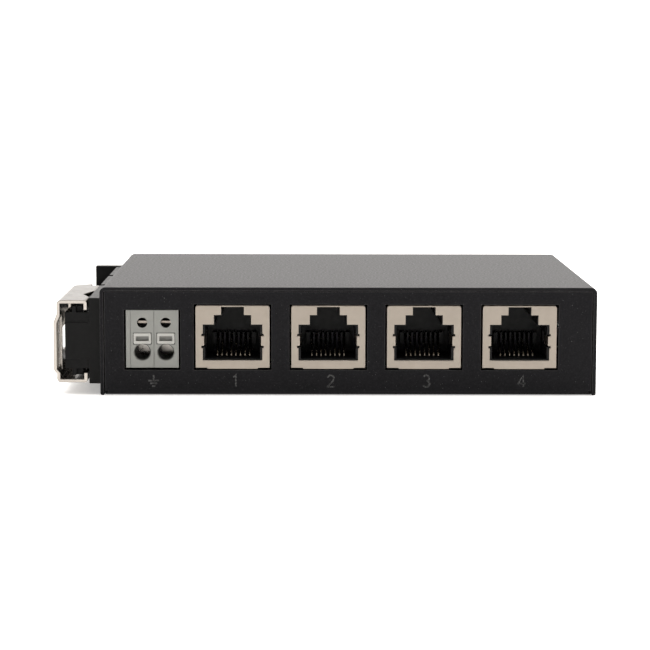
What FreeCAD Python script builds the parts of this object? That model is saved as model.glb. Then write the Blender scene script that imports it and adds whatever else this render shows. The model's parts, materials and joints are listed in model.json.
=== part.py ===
import FreeCAD, Part
import operator
import os
from types import SimpleNamespace

import Sketcher
from FreeCAD import Placement, Rotation, Vector

# A four-port network switch in a folded sheet case, with a rail foot on its left side.
# X runs along the row of ports, Y runs from the front panel to the rear panel, Z is up.
# The origin is the middle of the case's underside. Lengths are in millimetres.

SIZES = {
    # sheet case
    "case_width": 107.5,
    "case_depth": 80.0,
    "case_height": 23.5,
    "cover_sheet": 0.8,
    "cover_bend": 1.3,
    "base_sheet": 1.0,
    "base_bend": 1.5,
    "panel_gap": 0.2,
    "cover_clearance": 0.1,
    "tab_width": 9.0,
    "tab_height": 17.0,
    # screws, all M3
    "screw_radius": 1.5,
    "screw_clearance": 0.1,
    "screw_level": 11.95,
    "pan_head_radius": 2.8,
    "pan_head_height": 1.7,
    "flat_head_radius": 2.8,
    "flat_head_height": 1.5,
    "foot_screw_front": 0.0,
    "foot_screw_rear": 20.0,
    "cover_screw_y": 20.0,
    # circuit board
    "board_width": 102.0,
    "board_front": -36.0,
    "board_rear": 37.2,
    "board_top": 6.0,
    "board_thickness": 1.6,
    "standoff_radius": 2.7,
    "standoff_x": 46.5,
    "standoff_front": 19.0,
    "standoff_rear": 33.0,
    # network jacks
    "jack_first": -25.07,
    "jack_pitch": 20.71,
    "jack_width": 16.0,
    "jack_height": 13.54,
    "jack_depth": 16.5,
    "jack_setback": 0.05,
    "shield_sheet": 0.25,
    "port_half": 6.45,
    "port_floor": 7.62,
    "port_shoulder": 15.43,
    "key_half": 4.03,
    "key_top": 17.5,
    "latch_half": 2.48,
    "latch_top": 19.26,
    "cavity_half": 5.95,
    "cavity_depth": 12.2,
    "cavity_floor": 7.9,
    "comb_low": 9.9,
    "comb_high": 12.5,
    "finger_low": 10.79,
    "finger_high": 12.9,
    "contact_pitch": 1.016,
    "contact_radius": 0.23,
    "contact_emerge": -33.4,
    "jack_window_margin": 0.4,
    # push-in terminal blocks
    "pole_pitch": 5.08,
    "earth_x": -42.05,
    "power_x": 30.0,
    "terminal_long_side": 6.05,
    "terminal_short_side": 5.3,
    "terminal_height": 12.5,
    "terminal_depth": 12.0,
    "terminal_setback": 0.15,
    "wire_hole_radius": 1.65,
    "wire_hole_level": 9.37,
    "test_hole_radius": 1.12,
    "test_hole_level": 15.78,
    "button_width": 3.75,
    "button_height": 2.3,
    "button_level": 12.33,
    "button_length": 9.0,
    "button_clearance": 0.12,
    "button_proud": 0.1,
    # rail foot, for a 35 mm rail
    "foot_plate": 2.45,
    "foot_bottom": 2.35,
    "foot_top": 21.05,
    "foot_front": -39.0,
    "foot_rear": 35.6,
    "guide_rear": -11.0,
    "guide_bottom": 5.65,
    "guide_top": 17.95,
    "guide_out": 6.55,
    "guide_head_out": 7.65,
    "guide_head_rear": -29.0,
    "ridge_low": 7.7,
    "ridge_high": 15.75,
    "flange_bottom": 4.2,
    "flange_top": 19.3,
    "flange_near": 3.85,
    "flange_far": 6.15,
    "rail_seat": 3.75,
    "seat_front": -4.5,
    "seat_rear": 24.0,
    "rail_rear": 27.2,
    "hook_front": 24.5,
    "hook_wall": 33.1,
    "hook_bottom": 5.9,
    "hook_top": 16.1,
    "hook_out": 7.9,
    "rail_slot": 1.4,
    # steel slide
    "slide_sheet": 0.7,
    "slide_near": 2.85,
    "slide_far": 9.44,
    "slide_bottom": 2.6,
    "slide_top": 20.54,
    "slide_nose": -4.8,
    "slide_root": -8.3,
    "nose_near": 4.95,
    "loop_out": 10.15,
    "loop_depth": 4.4,
}

OPERATIONS = {"+": operator.add, "-": operator.sub, "*": operator.mul, "/": operator.truediv}


class Length:
    """A dimension, or a sum of dimensions, with its value and its spreadsheet expression."""

    def __init__(self, value, text):
        self.value = value
        self.text = text

    def __add__(self, other):
        return combine(self, "+", other)

    def __radd__(self, other):
        return combine(other, "+", self)

    def __sub__(self, other):
        return combine(self, "-", other)

    def __rsub__(self, other):
        return combine(other, "-", self)

    def __mul__(self, other):
        return combine(self, "*", other)

    def __rmul__(self, other):
        return combine(other, "*", self)

    def __truediv__(self, other):
        return combine(self, "/", other)

    def __neg__(self):
        return combine(0, "-", self)


def as_length(number):
    """The same number as a Length, so plain numbers and dimensions mix."""
    return number if isinstance(number, Length) else Length(float(number), f"({number})")


def combine(left, sign, right):
    left, right = as_length(left), as_length(right)
    value = OPERATIONS[sign](left.value, right.value)
    return Length(value, f"({left.text} {sign} {right.text})")


doc = FreeCAD.newDocument("network_switch")


def make_sheet():
    """Puts each driving dimension in the spreadsheet, with its name as the alias."""
    sheet = doc.addObject("Spreadsheet::Sheet", "Sizes")
    for row, (alias, value) in enumerate(SIZES.items(), start=1):
        sheet.set(f"A{row}", alias)
        sheet.set(f"B{row}", str(value))
        sheet.setAlias(f"B{row}", alias)
    doc.recompute()
    return SimpleNamespace(**{alias: Length(value, f"Sizes.{alias}") for alias, value in SIZES.items()})


size = make_sheet()
half_width = size.case_width / 2
front = -size.case_depth / 2
rear = size.case_depth / 2
nodes = []

# Rotations that turn a primitive's own Z axis to the named direction.
TURNS = {
    "x": Rotation(Vector(0, 1, 0), 90),
    "-x": Rotation(Vector(0, 1, 0), -90),
    "y": Rotation(Vector(1, 0, 0), -90),
    "-y": Rotation(Vector(1, 0, 0), 90),
    "z": Rotation(),
    "-z": Rotation(Vector(1, 0, 0), 180),
}
HALF_TURN = Rotation(Vector(0, 0, 1), 180)


# ---------------------------------------------------------------- building blocks

def bind(item, name, length):
    """Sets a property to a length and ties it to the spreadsheet."""
    length = as_length(length)
    item.setExpression(name, length.text)


def place(item, x=0, y=0, z=0, turn=Rotation()):
    item.Placement = Placement(Vector(), turn)
    for axis, length in zip("xyz", (x, y, z)):
        bind(item, f"Placement.Base.{axis}", length)
    return item


def box(name, x, y, z):
    """A block between the low and high values of each axis."""
    item = doc.addObject("Part::Box", name)
    for side, (low, high) in zip(("Length", "Width", "Height"), (x, y, z)):
        bind(item, side, as_length(high) - low)
    return place(item, x[0], y[0], z[0])


def around(middle, half):
    """The low and high values at equal distances from a middle."""
    return as_length(middle) - half, as_length(middle) + half


def rod(name, radius, length, start, direction="z"):
    """A cylinder from its start point along a direction."""
    item = doc.addObject("Part::Cylinder", name)
    bind(item, "Radius", radius)
    bind(item, "Height", length)
    return place(item, *start, turn=TURNS[direction])


def cone(name, start_radius, end_radius, length, start, direction="z"):
    item = doc.addObject("Part::Cone", name)
    bind(item, "Radius1", start_radius)
    bind(item, "Radius2", end_radius)
    bind(item, "Height", length)
    return place(item, *start, turn=TURNS[direction])


def draw_outline(sketch, points, closed=True):
    """Straight lines through the points, each point dimensioned from the sketch's origin."""
    points = [(as_length(across), as_length(up)) for across, up in points]
    count = len(points)
    lines = count if closed else count - 1
    for index in range(lines):
        start, end = points[index], points[(index + 1) % count]
        sketch.addGeometry(Part.LineSegment(Vector(start[0].value, start[1].value, 0),
                                            Vector(end[0].value, end[1].value, 0)), False)
    joins = lines if closed else lines - 1
    for index in range(joins):
        sketch.addConstraint(Sketcher.Constraint("Coincident", index, 2, (index + 1) % lines, 1))
    for index, point in enumerate(points):
        line, end = (index, 1) if index < lines else (index - 1, 2)
        for kind, axis_line, length in (("DistanceX", -2, point[0]), ("DistanceY", -1, point[1])):
            if abs(length.value) < 1e-9:
                sketch.addConstraint(Sketcher.Constraint("PointOnObject", line, end, axis_line))
                continue
            number = sketch.addConstraint(Sketcher.Constraint(kind, -1, 1, line, end, length.value))
            constraint = f"{kind}_{index}"
            sketch.renameConstraint(number, constraint)
            sketch.setExpression(f"Constraints.{constraint}", length.text)


def new_sketch(body, name, plane):
    planes = {feature.Role: feature for feature in body.Origin.OriginFeatures}
    sketch = body.newObject("Sketcher::SketchObject", name)
    sketch.AttachmentSupport = [(planes[f"{plane}_Plane"], "")]
    sketch.MapMode = "FlatFace"
    return sketch


def prism(name, plane, points, span):
    """A body padded from an outline on a plane, between two values on the plane's axis."""
    body = doc.addObject("PartDesign::Body", name)
    sketch = new_sketch(body, f"{name}_outline", plane)
    draw_outline(sketch, points)
    pad = body.newObject("PartDesign::Pad", f"{name}_pad")
    pad.Profile = sketch
    low, high = as_length(span[0]), as_length(span[1])
    bind(pad, "Length", high - low)
    starts = {"XY": (0, 0, low), "XZ": (0, high, 0), "YZ": (low, 0, 0)}
    return place(body, *starts[plane])


def round_edges(body, radius, wanted):
    """Fillets the body's edges whose middle point, in the body's own frame, is wanted."""
    doc.recompute()
    base = body.Tip
    names = []
    for number, edge in enumerate(base.Shape.Edges, start=1):
        middle = edge.valueAt((edge.FirstParameter + edge.LastParameter) / 2)
        if wanted(middle, edge):
            names.append(f"Edge{number}")
    fillet = body.newObject("PartDesign::Fillet", f"{body.Name}_round")
    fillet.Base = (base, names)
    bind(fillet, "Radius", radius)
    doc.recompute()
    return body


def group(name, items):
    item = doc.addObject("Part::Compound", name)
    item.Links = items
    return item


def fuse(name, items):
    item = doc.addObject("Part::MultiFuse", name)
    item.Shapes = items
    return item


def cut(name, base, tools):
    """The base less all the tools, which stay clear of each other."""
    item = doc.addObject("Part::Cut", name)
    item.Base = base
    item.Tool = tools[0] if len(tools) == 1 else group(f"{name}_tools", tools)
    return item


def copy(name, master, x=0, y=0, z=0, turn=Rotation()):
    """Another instance of a master shape, in its own place."""
    return place(group(name, [master]), x, y, z, turn)


def node(label, item):
    """Names a finished sub-part, whose shape is written to a file."""
    item.Label = label
    nodes.append(item)
    return item


def ribbon(name, plane, path, thickness, span):
    """A bent strip: a path offset by its thickness, then drawn out along the plane's axis."""
    planes = {
        "XY": (Rotation(), Vector(0, 0, 1)),
        "YZ": (Rotation(Vector(1, 1, 1), 120), Vector(1, 0, 0)),
    }
    turn, direction = planes[plane]
    sketch = doc.addObject("Sketcher::SketchObject", f"{name}_path")
    sketch.Placement = Placement(Vector(), turn)
    draw_outline(sketch, path, closed=False)
    strip = doc.addObject("Part::Offset2D", f"{name}_section")
    strip.Source = sketch
    bind(strip, "Value", thickness)
    strip.Fill = True
    strip.Mode = "Skin"
    strip.Join = "Arc"
    drawn = doc.addObject("Part::Extrusion", name)
    drawn.Base = strip
    drawn.DirMode = "Custom"
    drawn.Dir = direction
    drawn.Solid = True
    low, high = as_length(span[0]), as_length(span[1])
    bind(drawn, "LengthFwd", high - low)
    start = {"XY": (0, 0, low), "YZ": (low, 0, 0)}[plane]
    return place(drawn, *start)


def cross_recess(name, start, direction):
    """The cross-shaped drive of a screw, sunk from the head's outer face."""
    arm, blade, depth = 1.5, 0.35, 1.0
    x, y, z = start
    inward = {"x": (x, x + depth), "-x": (x - depth, x), "-z": (z - depth, z)}[direction]
    if direction == "-z":
        upright = box(f"{name}_upright", around(x, blade), around(y, arm), inward)
        level = box(f"{name}_level", around(x, arm), around(y, blade), inward)
    else:
        upright = box(f"{name}_upright", inward, around(y, blade), around(z, arm))
        level = box(f"{name}_level", inward, around(y, arm), around(z, blade))
    return fuse(name, [upright, level])


def pan_screw(name, start, direction, length):
    """A pan-head screw: start is the centre of the face under the head."""
    step = {"-x": (1, 0, 0), "-z": (0, 0, 1)}[direction]
    top = [as_length(length_at) + size.pan_head_height * way for length_at, way in zip(start, step)]
    head = rod(f"{name}_head", size.pan_head_radius, size.pan_head_height, top, direction)
    rounded = doc.addObject("Part::Fillet", f"{name}_dome")
    doc.recompute()
    rounded.Base = head
    outer = [number for number, edge in enumerate(head.Shape.Edges, start=1)
             if edge.Closed and (edge.CenterOfMass - head.Placement.Base).Length < 0.01]
    rounded.Edges = [(number, 0.6, 0.6) for number in outer]
    shank = rod(f"{name}_shank", size.screw_radius, length, start, direction)
    screw = fuse(f"{name}_blank", [rounded, shank])
    return cut(name, screw, [cross_recess(f"{name}_drive", top, direction)])


# ---------------------------------------------------------------- sheet case

LIGHT_PLACES = (-10.0, -5.0, 0.0, 5.0, 10.0)
LIGHT_LEVEL = 9.0
LIGHT_RADIUS = 1.4


def jack_x(number):
    return size.jack_first + size.jack_pitch * (number - 1)


def make_base():
    """Bottom, front panel and rear panel folded from one sheet, with four screw tabs."""
    edge = half_width - size.cover_sheet - size.panel_gap
    top = size.case_height - size.cover_sheet - size.cover_clearance
    sheet = size.base_sheet
    folded = prism("base_sheet_metal", "YZ", [
        (front, 0), (rear, 0), (rear, top), (rear - sheet, top), (rear - sheet, sheet),
        (front + sheet, sheet), (front + sheet, top), (front, top),
    ], (-edge, edge))
    outer = size.case_depth.value / 2
    round_edges(folded, size.base_bend, lambda middle, line:
                abs(abs(middle.y) - outer) < 0.01 and abs(middle.z) < 0.01)
    inner = outer - sheet.value
    round_edges(folded, size.base_bend - sheet, lambda middle, line:
                abs(abs(middle.y) - inner) < 0.01 and abs(middle.z - sheet.value) < 0.01)
    tabs = []
    for side, y in ((-1, size.foot_screw_front), (-1, size.foot_screw_rear),
                    (1, -size.cover_screw_y), (1, size.cover_screw_y)):
        across = (-edge, -edge + sheet) if side < 0 else (edge - sheet, edge)
        name = f"screw_tab_{len(tabs) + 1}"
        blank = box(f"{name}_blank", across, around(y, size.tab_width / 2), (0, size.tab_height))
        hole = rod(f"{name}_hole", size.screw_radius + 0.05, sheet * 3,
                   (across[0] - sheet, y, size.screw_level), "x")
        tabs.append(cut(name, blank, [hole]))
    blank = fuse("base_blank", [folded] + tabs)
    through_front = (front - 1, front + sheet + 1)
    through_rear = (rear - sheet - 1, rear + 1)
    margin = size.jack_window_margin
    windows = []
    for number in range(1, 5):
        windows.append(box(f"port_window_{number}", around(jack_x(number), size.jack_width / 2 + margin),
                           through_front, (size.board_top - 0.5, size.board_top + size.jack_height + 0.26)))
    level = (size.board_top - 0.5, size.board_top + size.terminal_height + 0.1)
    side_gap = 0.4
    windows.append(box("earth_window", (size.earth_x - size.terminal_long_side - side_gap,
                                        size.earth_x + size.terminal_short_side + side_gap),
                       through_front, level))
    windows.append(box("power_window", (size.power_x - size.terminal_short_side - side_gap,
                                        size.power_x + size.terminal_long_side + side_gap),
                       through_rear, level))
    corner = 0.7
    for number, (side, y) in enumerate(((-1, front), (1, front), (-1, rear), (1, rear)), start=1):
        windows.append(rod(f"bend_relief_{number}", corner, size.base_bend - 0.4, (edge * side, y, -0.1)))
    return node("base_chassis", cut("base_chassis", blank, windows))


def make_cover():
    """Top and both sides folded from one sheet, open at the front, the rear and below."""
    sheet = size.cover_sheet
    inner = half_width - sheet
    roof = size.case_height - sheet
    folded = prism("cover_sheet_metal", "XZ", [
        (-half_width, 0), (-inner, 0), (-inner, roof), (inner, roof),
        (inner, 0), (half_width, 0), (half_width, size.case_height), (-half_width, size.case_height),
    ], (front, rear))
    outside = size.case_width.value / 2
    height = size.case_height.value
    round_edges(folded, size.cover_bend, lambda middle, line:
                abs(abs(middle.x) - outside) < 0.01 and abs(middle.z - height) < 0.01)
    inside = outside - sheet.value
    round_edges(folded, size.cover_bend - sheet, lambda middle, line:
                abs(abs(middle.x) - inside) < 0.01 and abs(middle.z - roof.value) < 0.01)
    round_edges(folded, sheet / 2, lambda middle, line:
                abs(abs(middle.x) - outside) < 0.01 and abs(middle.z) < 0.01)
    holes = []
    radius = size.screw_radius + 0.15
    for number, (start, y) in enumerate(((-half_width - 1, size.foot_screw_front),
                                         (-half_width - 1, size.foot_screw_rear),
                                         (inner - 1, -size.cover_screw_y),
                                         (inner - 1, size.cover_screw_y)), start=1):
        holes.append(rod(f"cover_hole_{number}", radius, sheet + 2, (start, y, size.screw_level), "x"))
    for number, y in enumerate(LIGHT_PLACES, start=1):
        holes.append(rod(f"light_hole_{number}", LIGHT_RADIUS + 0.05, sheet + 2,
                         (inner - 1, y, LIGHT_LEVEL), "x"))
    return node("top_cover", cut("top_cover", folded, holes))


def make_case_screws():
    """Two pan-head screws on the right, and two flat-head screws through the foot on the left."""
    pans = []
    for number, y in enumerate((-size.cover_screw_y, size.cover_screw_y), start=1):
        pans.append(pan_screw(f"pan_screw_{number}", (half_width, y, size.screw_level), "-x", 5.0))
    node("cover_screws", group("cover_screws", pans))
    flats = []
    outside = -half_width - size.foot_plate + 0.05
    for number, y in enumerate((size.foot_screw_front, size.foot_screw_rear), start=1):
        name = f"flat_screw_{number}"
        start = (outside, y, size.screw_level)
        head = cone(f"{name}_head", size.flat_head_radius, size.screw_radius, size.flat_head_height,
                    start, "x")
        shank = rod(f"{name}_shank", size.screw_radius, 6.0, start, "x")
        blank = fuse(f"{name}_blank", [head, shank])
        flats.append(cut(name, blank, [cross_recess(f"{name}_drive", start, "x")]))
    node("foot_screws", group("foot_screws", flats))


# ---------------------------------------------------------------- circuit board

BOARD_CORNERS = [(-size.standoff_x, -size.standoff_front), (size.standoff_x, -size.standoff_front),
                 (-size.standoff_x, size.standoff_rear), (size.standoff_x, size.standoff_rear)]
PIN_HOLE_RADIUS = 0.45
CONTACT_PIN_ROWS = (-25.0, -27.5)
SHIELD_PIN_Y = -30.0
TERMINAL_PIN_SETBACKS = (8.3, 10.7)


def contact_x(index):
    """Where a jack's contact lies across the jack, for the eight contacts numbered 0 to 7."""
    return size.contact_pitch * (index - 3.5)


def make_board():
    """The bare board, with its mounting holes and a hole for every pin that passes through."""
    top = size.board_top
    bottom = top - size.board_thickness
    deep = size.board_thickness + 1
    blank = box("board_blank", around(0, size.board_width / 2), (size.board_front, size.board_rear),
                (bottom, top))
    holes = []
    for number, (x, y) in enumerate(BOARD_CORNERS, start=1):
        holes.append(rod(f"board_hole_{number}", size.screw_radius + size.screw_clearance, deep,
                         (x, y, bottom - 0.5)))
    for jack in range(1, 5):
        middle = jack_x(jack)
        for index in range(8):
            holes.append(rod(f"jack_{jack}_pin_hole_{index}", PIN_HOLE_RADIUS, deep,
                             (middle + contact_x(index), CONTACT_PIN_ROWS[index % 2], bottom - 0.5)))
        for side in (-1, 1):
            holes.append(rod(f"jack_{jack}_shield_hole_{side + 1}", 0.95, deep,
                             (middle + (size.jack_width / 2 - 0.12) * side, SHIELD_PIN_Y, bottom - 0.5)))
    for name, middle, face, way in (("earth", size.earth_x, front, 1), ("power", size.power_x, rear, -1)):
        for pole in (-1, 1):
            for setback in TERMINAL_PIN_SETBACKS:
                holes.append(rod(f"{name}_pin_hole", 0.75, deep,
                                 (middle + size.pole_pitch / 2 * pole, face + setback * way, bottom - 0.5)))
    return node("circuit_board", cut("circuit_board", blank, holes))


def make_board_hardware():
    """Standoffs pressed in the base, the screws that hold the board, and the sheet under it."""
    bottom = size.board_top - size.board_thickness
    standoffs, screws, clearances = [], [], []
    for number, (x, y) in enumerate(BOARD_CORNERS, start=1):
        post = rod(f"standoff_{number}_post", size.standoff_radius, bottom - size.base_sheet,
                   (x, y, size.base_sheet))
        bore = rod(f"standoff_{number}_bore", size.screw_radius + 0.05, size.board_top, (x, y, 1.4))
        standoffs.append(cut(f"standoff_{number}", post, [bore]))
        screws.append(pan_screw(f"board_screw_{number}", (x, y, size.board_top), "-z", 4.2))
        clearances.append(rod(f"sheet_hole_{number}", size.standoff_radius + 0.7, 2.0, (x, y, 0.5)))
    node("board_standoffs", group("board_standoffs", standoffs))
    node("board_screws", group("board_screws", screws))
    level = size.base_sheet + 0.1
    film = box("film_blank", around(0, 51.0), (-36.0, 36.5), (level, level + 0.25))
    node("insulating_sheet", cut("insulating_sheet", film, clearances))


# ---------------------------------------------------------------- network jacks

def stepped_opening(name, half, floor, shoulder, key, key_level, latch, latch_level, span):
    """The stepped outline of a network plug: body, key and latch, one above the other."""
    right = [(half, floor), (half, shoulder), (key, shoulder), (key, key_level),
             (latch, key_level), (latch, latch_level)]
    left = [(-as_length(x), z) for x, z in reversed(right)]
    return prism(name, "XZ", right + left, span)


def make_jack_masters():
    """One jack on the Y axis: its metal can, its moulded housing and its eight spring wires."""
    face = front + size.jack_setback
    sheet = size.shield_sheet
    half = size.jack_width / 2
    back = face + size.jack_depth
    top = size.board_top + size.jack_height
    can = prism("can_outside", "XZ", [(half, size.board_top), (half, top), (-half, top),
                                      (-half, size.board_top)], (face, back))
    width = half.value
    height = top.value
    round_edges(can, 0.5, lambda middle, line:
                abs(abs(middle.x) - width) < 0.01 and abs(middle.z - height) < 0.01)
    hollow = box("can_inside", around(0, half - sheet), (face + sheet, back - sheet),
                 (size.board_top - 1, top - sheet))
    opening = stepped_opening("can_opening", size.port_half, size.port_floor, size.port_shoulder,
                              size.key_half, size.key_top, size.latch_half, size.latch_top,
                              (face - 1, face + sheet + 0.01))
    finger_low, finger_high = size.finger_low, size.finger_high
    slots = []
    fingers = []
    for side in (-1, 1):
        for level in (finger_low - 0.5, finger_high):
            slots.append(box(f"finger_slot_{len(slots) + 1}", around((size.port_half + 0.14) * side, 0.16),
                             (face - 1, face + 1), (level, level + 0.5)))
        root = size.port_half
        bow = [(root, face), (root, face + 1.4), (root - 0.37, face + 4.9), (root + 0.1, face + 8.9),
               (root - 0.12, face + 8.9), (root - 0.62, face + 4.9), (root - 0.28, face + 1.4),
               (root - 0.28, face)]
        fingers.append(prism(f"side_finger_{side + 1}", "XY", [(x * side, y) for x, y in bow],
                             (finger_low, finger_high)))
    shell = cut("can_shell", can, [fuse("can_cuts", [hollow, opening] + slots)])
    pins = [box(f"shield_pin_{side + 1}", around((half - sheet / 2) * side, sheet / 2),
                around(SHIELD_PIN_Y, 0.7), (3.4, size.board_top)) for side in (-1, 1)]
    lip = box("can_lip", around(0, 5.45), (face, face + sheet), (5.76, size.board_top))
    shield = fuse("shield_master", [shell, lip] + fingers + pins)

    inside = 0.1
    block_front = face + sheet + inside
    block = box("housing_block", around(0, half - sheet - inside), (block_front, back - sheet - inside),
                (size.board_top, top - sheet - inside))
    cavity_back = block_front + size.cavity_depth
    cavity = stepped_opening("cavity", size.cavity_half, size.cavity_floor, 15.2, 3.85, 17.3, 2.3,
                             top - sheet, (block_front - 1, cavity_back))
    reliefs = [box(f"finger_relief_{side + 1}", around(6.3 * side, 0.75), (block_front - 1, face + 9.4),
                   (finger_low - 0.3, finger_high + 0.3)) for side in (-1, 1)]
    groove_half = 0.32
    grooves = []
    comb_slots = []
    slot_front, slot_rear = size.contact_emerge - 0.75, size.contact_emerge + 1.1
    for index in range(8):
        span = around(contact_x(index), groove_half)
        grooves.append(prism(f"wire_groove_{index}", "YZ", [
            (slot_front, 5.9), (-24.4, 5.9), (-24.4, 7.0), (slot_rear, 7.0),
            (slot_rear, size.cavity_floor + 0.4), (slot_front, size.cavity_floor + 0.4)], span))
        comb_slots.append(box(f"comb_slot_{index}", span, (cavity_back - 2.5, cavity_back - 0.3),
                              (size.comb_low - 1, size.comb_high + 1)))
    comb = box("comb_bar", around(0, 4.75), (cavity_back - 2.2, cavity_back + 0.1),
               (size.comb_low, size.comb_high))
    hollowed = cut("housing_hollow", block, [fuse("housing_cuts", [cavity] + reliefs)])
    grooved = cut("housing_grooved", hollowed, grooves)
    toothed = cut("comb_teeth", comb, comb_slots)
    housing = fuse("housing_master", [grooved, toothed])

    wires = []
    for index in range(8):
        pin_y = CONTACT_PIN_ROWS[index % 2]
        bend = size.contact_emerge
        wires.append(contact_wire(f"contact_wire_{index}", contact_x(index), [
            (pin_y, 3.4), (pin_y, 6.45), (bend + 0.1, 6.45), (bend - 0.3, 7.35), (bend + 0.1, 8.1),
            (-28.65, 12.0)]))
    return shield, housing, group("contacts_master", wires)


def contact_wire(name, x, path):
    """A round spring wire swept along a path in the plane across the jack."""
    body = doc.addObject("PartDesign::Body", name)
    spine = new_sketch(body, f"{name}_path", "YZ")
    draw_outline(spine, path, closed=False)
    section = new_sketch(body, f"{name}_section", "XY")
    section.AttachmentOffset = Placement(Vector(0, path[0][0], path[0][1]), Rotation())
    section.addGeometry(Part.Circle(Vector(), Vector(0, 0, 1), size.contact_radius.value), False)
    section.addConstraint(Sketcher.Constraint("Coincident", 0, 3, -1, 1))
    number = section.addConstraint(Sketcher.Constraint("Radius", 0, size.contact_radius.value))
    section.renameConstraint(number, "radius")
    section.setExpression("Constraints.radius", size.contact_radius.text)
    pipe = body.newObject("PartDesign::AdditivePipe", f"{name}_sweep")
    pipe.Profile = section
    pipe.Spine = spine
    pipe.Transition = "Round corner"
    return place(body, x)


def make_jacks():
    shield, housing, contacts = make_jack_masters()
    for number in range(1, 5):
        x = jack_x(number)
        node(f"jack_{number}_shield", copy(f"jack_{number}_shield", shield, x))
        node(f"jack_{number}_insulator", copy(f"jack_{number}_insulator", housing, x))
        node(f"jack_{number}_contacts", copy(f"jack_{number}_contacts", contacts, x))


# ---------------------------------------------------------------- push-in terminal blocks

def make_terminal_masters():
    """A two-pole block facing -Y with its front at Y = 0: housing, button, clamp spring, busbar."""
    low = size.board_top
    high = low + size.terminal_height
    block = box("terminal_block", (-size.terminal_long_side, size.terminal_short_side),
                (0, size.terminal_depth), (low, high))
    gap = size.button_clearance
    cuts = []
    for name, x in (("left", -size.pole_pitch / 2), ("right", size.pole_pitch / 2)):
        wire_hole = rod(f"wire_hole_{name}", size.wire_hole_radius, 8.5,
                        (x, -0.5, size.wire_hole_level), "y")
        funnel = cone(f"wire_funnel_{name}", size.wire_hole_radius + 0.36, size.wire_hole_radius, 0.6,
                      (x, -0.1, size.wire_hole_level), "y")
        test_hole = rod(f"test_hole_{name}", size.test_hole_radius, 3.0,
                        (x, -0.5, size.test_hole_level), "y")
        shaft = box(f"button_shaft_{name}", around(x, size.button_width / 2 + gap),
                    (-0.5, size.button_length + 1.3),
                    around(size.button_level, size.button_height / 2 + gap))
        chamber = box(f"chamber_{name}", around(x, 2.1), (7.4, 11.3), (low - 0.5, 17.0))
        test_way = box(f"test_way_{name}", around(x, 1.3), (1.4, 8.0), around(size.test_hole_level, 0.7))
        cuts.append(fuse(f"terminal_cuts_{name}", [wire_hole, funnel, test_hole, shaft, chamber, test_way]))
    line_depth, line_half = 0.15, 0.08
    for name, x in (("end_plate", -size.pole_pitch), ("poles", 0)):
        cuts.append(box(f"mould_line_{name}", around(x, line_half), (-0.5, line_depth), (low - 1, high + 1)))
    housing = cut("terminal_housing_master", block, cuts)

    push = prism("button_blank", "XZ", [
        (-size.button_width / 2, -size.button_height / 2), (size.button_width / 2, -size.button_height / 2),
        (size.button_width / 2, size.button_height / 2), (-size.button_width / 2, size.button_height / 2)],
        (-size.button_proud, size.button_length - size.button_proud))
    round_edges(push, 0.25, lambda middle, line: line.Length > SIZES["button_length"] - 0.5)
    slot = box("button_slot", around(0, 1.4), (-1, 0.8), around(0, 0.54))
    button = cut("button_master", push, [slot])

    spring_front = size.button_length + 0.05
    spring = ribbon("clamp_spring_master", "YZ", [
        (spring_front, 8.2), (spring_front, 13.9), (spring_front + 0.7, 14.7), (10.3, 14.7),
        (10.3, 7.4)], 0.25, (-1.6, 1.6))
    bar = [
        box("bar_upright", around(0, 1.6), (10.8, 11.2), (7.0, 16.0)),
        box("bar_top", around(0, 1.2), (1.55, 11.0), around(size.test_hole_level, 0.25)),
        box("bar_foot", around(0, 1.6), (7.6, 11.2), (6.6, 7.0)),
    ]
    for number, setback in enumerate(TERMINAL_PIN_SETBACKS, start=1):
        bar.append(box(f"bar_pin_{number}", around(0, 0.4), around(setback, 0.3), (3.0, 6.8)))
    return housing, button, spring, fuse("busbar_master", bar)


def make_terminals():
    """The earth block behind the front panel and the power block behind the rear panel."""
    housing, button, spring, bar = make_terminal_masters()
    blocks = (("pe", size.earth_x, front + size.terminal_setback, Rotation(), 1),
              ("power", size.power_x, rear - size.terminal_setback, HALF_TURN, -1))
    for name, x, y, turn, way in blocks:
        node(f"{name}_terminal_housing", copy(f"{name}_terminal_housing", housing, x, y, 0, turn))
        bars = []
        for number, pole in enumerate((-1, 1), start=1):
            pole_x = x + size.pole_pitch / 2 * pole * way
            node(f"{name}_button_{number}",
                 copy(f"{name}_button_{number}", button, pole_x, y, size.button_level, turn))
            node(f"{name}_clamp_spring_{number}",
                 copy(f"{name}_clamp_spring_{number}", spring, pole_x, y, 0, turn))
            bars.append(copy(f"{name}_bar_{number}", bar, pole_x, y, 0, turn))
        node(f"{name}_busbars", group(f"{name}_busbars", bars))


# ---------------------------------------------------------------- parts on the board

def leaded_package(name, x, y, width, depth, height, leads, sides="y", lead_width=0.4):
    """A moulded package with flat leads along two sides, or all four."""
    top = size.board_top
    body = box(f"{name}_body", around(x, width / 2), around(y, depth / 2), (top + 0.15, top + height))
    pieces = [body]
    reach = 0.9
    for index in range(leads):
        if "y" in sides:
            along = x + width * 0.86 * ((index + 0.5) / leads - 0.5)
            for way in (-1, 1):
                edge = y + (depth / 2 + reach / 2 - 0.1) * way
                pieces.append(box(f"{name}_lead", around(along, lead_width / 2), around(edge, reach / 2),
                                  (top, top + 0.3)))
        if "x" in sides:
            along = y + depth * 0.86 * ((index + 0.5) / leads - 0.5)
            for way in (-1, 1):
                edge = x + (width / 2 + reach / 2 - 0.1) * way
                pieces.append(box(f"{name}_lead", around(edge, reach / 2), around(along, lead_width / 2),
                                  (top, top + 0.3)))
    return fuse(name, pieces)


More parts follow.
